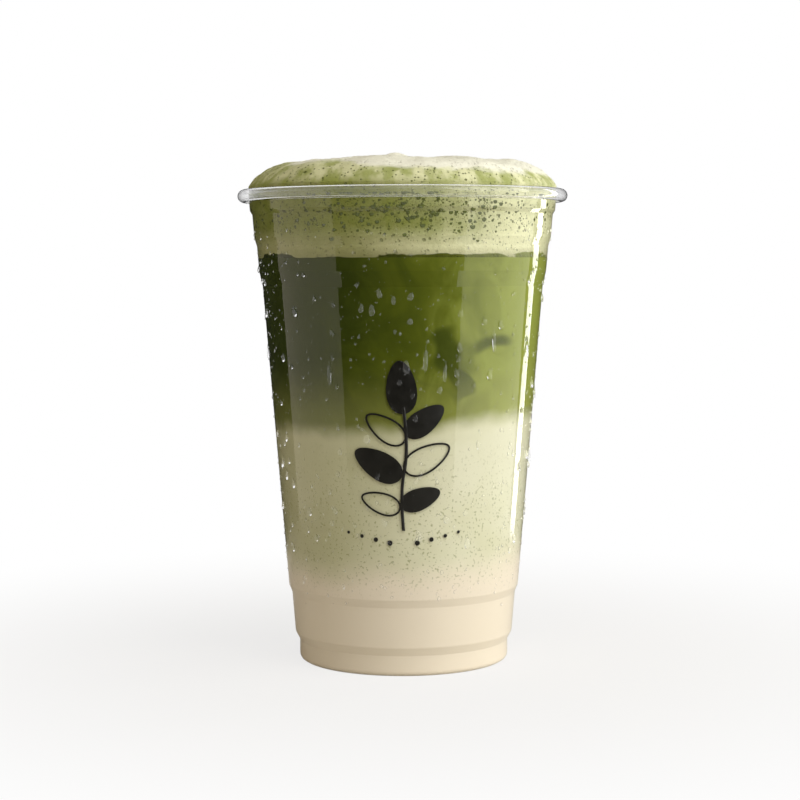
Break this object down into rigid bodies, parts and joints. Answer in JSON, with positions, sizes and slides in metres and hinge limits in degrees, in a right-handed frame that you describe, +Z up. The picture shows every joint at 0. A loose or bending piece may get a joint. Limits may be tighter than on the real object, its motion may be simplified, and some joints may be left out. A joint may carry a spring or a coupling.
{
  "type": "iced matcha latte in a clear cup",
  "caption": "Tall iced drink in a clear tapered cup with a rolled rim: milk below, green tea above, and a bubbly foam dome standing over the rim.",
  "frame": {"origin": "middle of the cup's foot, on the surface it stands on", "axes": "+Z up along the cup's axis; -Y towards the side that carries the print"},
  "size_m": [0.097, 0.097, 0.1498],
  "materials": {
    "clear_plastic": "clear glossy thin plastic",
    "milk": "opaque milk, smooth",
    "milky_matcha": "cloudy green milk, smooth",
    "matcha": "cloudy dark green tea, smooth",
    "foam": "fine wet foam with bubbles",
    "ice": "clear wet ice",
    "water": "clear water drops",
    "print_ink": "black printed ink"
  },
  "bodies": {
    "root": {"cup": "clear_plastic", "milk": "milk", "milky_matcha": "milky_matcha", "matcha": "matcha", "foam": "foam"}
  },
  "joints": []
}
